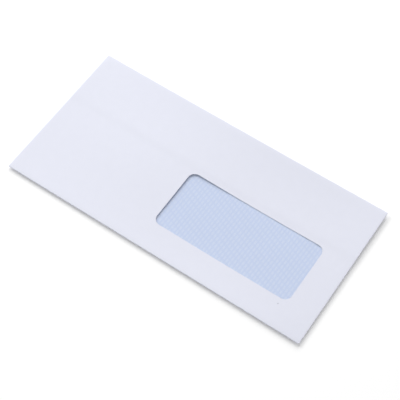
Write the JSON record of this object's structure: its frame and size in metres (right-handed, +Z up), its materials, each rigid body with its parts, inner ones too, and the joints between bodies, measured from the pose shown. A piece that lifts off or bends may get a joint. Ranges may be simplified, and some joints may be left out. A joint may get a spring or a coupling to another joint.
{
  "type": "window envelope",
  "caption": "A long paper mailing envelope with a clear address window near its lower right corner, a tinted inside, and its seal flap folded under the back.",
  "frame": {"origin": "centre of the outline, at the height of the surface that the envelope lies on", "axes": "+X along the length towards the window's end, +Y across the height towards the top fold and seal flap, +Z up out of the front panel"},
  "size_m": [0.22, 0.11, 0.0023],
  "materials": {
    "white_paper": "uncoated wove, matt",
    "clear_film": "clear, thin, glossy",
    "security_print": "pale blue fine lattice of lines, printed, matt",
    "dried_glue": "dried, slightly glossy"
  },
  "bodies": {
    "root": {"envelope_blank": "white_paper", "window_film": "clear_film", "window_film_glue": "dried_glue", "inner_tint": "security_print", "right_seam_glue": "dried_glue", "left_seam_glue": "dried_glue", "seal_flap_gum": "dried_glue"}
  },
  "joints": []
}
